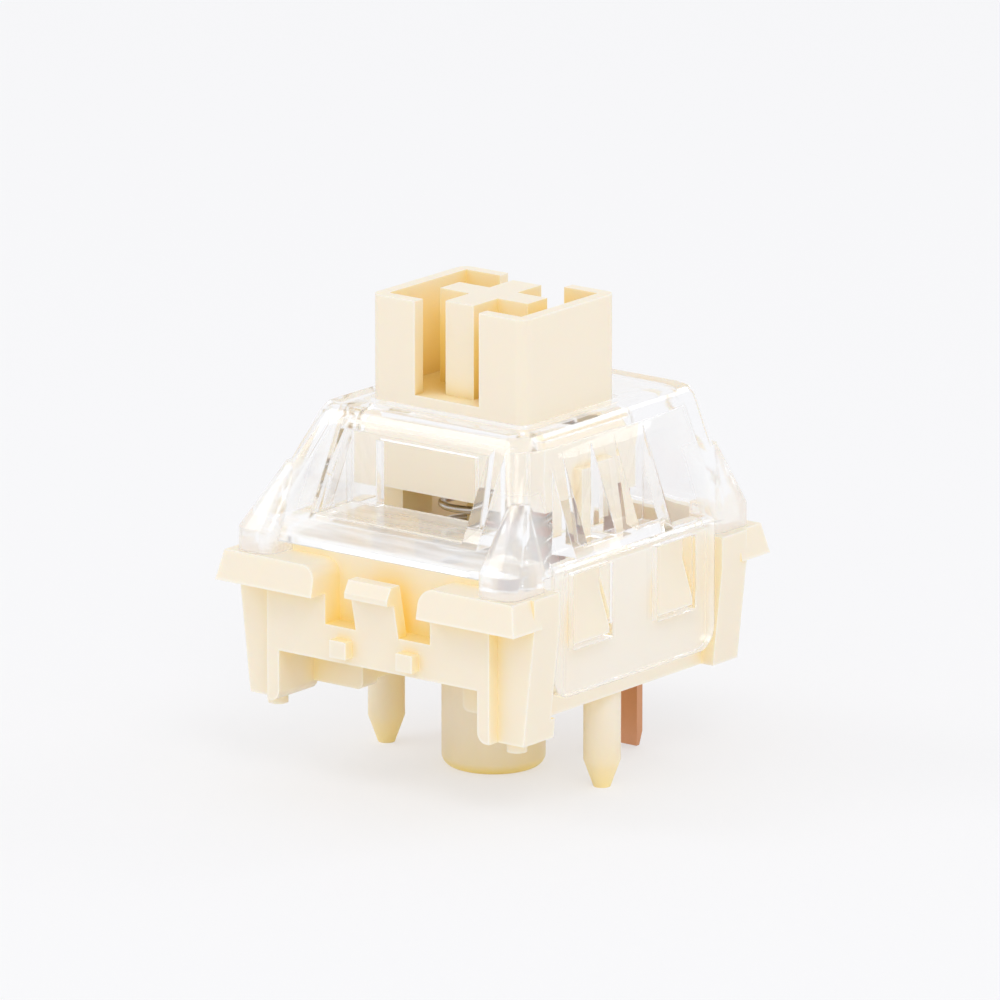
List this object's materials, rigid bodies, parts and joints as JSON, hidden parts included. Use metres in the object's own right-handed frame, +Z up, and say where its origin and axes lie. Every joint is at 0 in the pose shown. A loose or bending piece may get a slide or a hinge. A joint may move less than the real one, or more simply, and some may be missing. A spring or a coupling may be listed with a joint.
{
  "type": "mechanical keyboard switch",
  "caption": "Key switch with a walled cross stem that slides down on a spring, a clear cover, a pale lower housing and contact pins.",
  "frame": {"origin": "On the ground under the centre post, on which the switch stands, at the bottom centre of its box.", "axes": "+Z is up along the stem's travel, X runs along the line of the two side pegs, +Y points to the side with the contact pins."},
  "size_m": [0.014, 0.0156, 0.0181],
  "materials": {
    "housing_plastic": "moulded cream plastic, satin",
    "stem_plastic": "moulded cream plastic, satin",
    "clear_cover": "clear moulded polycarbonate, polished",
    "spring_wire": "drawn spring steel wire",
    "contact_metal": "stamped copper alloy",
    "contact_tip": "gold alloy contact bar"
  },
  "bodies": {
    "housing": {"bottom_housing": "housing_plastic", "top_housing": "clear_cover", "return_spring": "spring_wire", "fixed_contact": "contact_metal", "leaf_terminal": "contact_metal", "fixed_crosspoint": "contact_tip"},
    "stem": {"stem": "stem_plastic"},
    "leaf": {"contact_leaf": "contact_metal", "moving_crosspoint": "contact_tip"}
  },
  "joints": [
    {"name": "stem_press", "type": "slide", "parent": "housing", "child": "stem", "axis": [0, 0, -1], "range_m": [0, 0.004], "stiffness_N_per_m": 67, "springref_m": -0.005, "deforming": ["return_spring"]},
    {"name": "leaf_flex", "type": "hinge", "parent": "housing", "child": "leaf", "pos_m": [0, 0.00455, 0.00562], "axis": [1, 0, 0], "range_deg": [0, 6.9]}
  ],
  "couplings": [
    {"joint": "leaf_flex", "follows": "stem_press", "rad_per_m": 30}
  ]
}
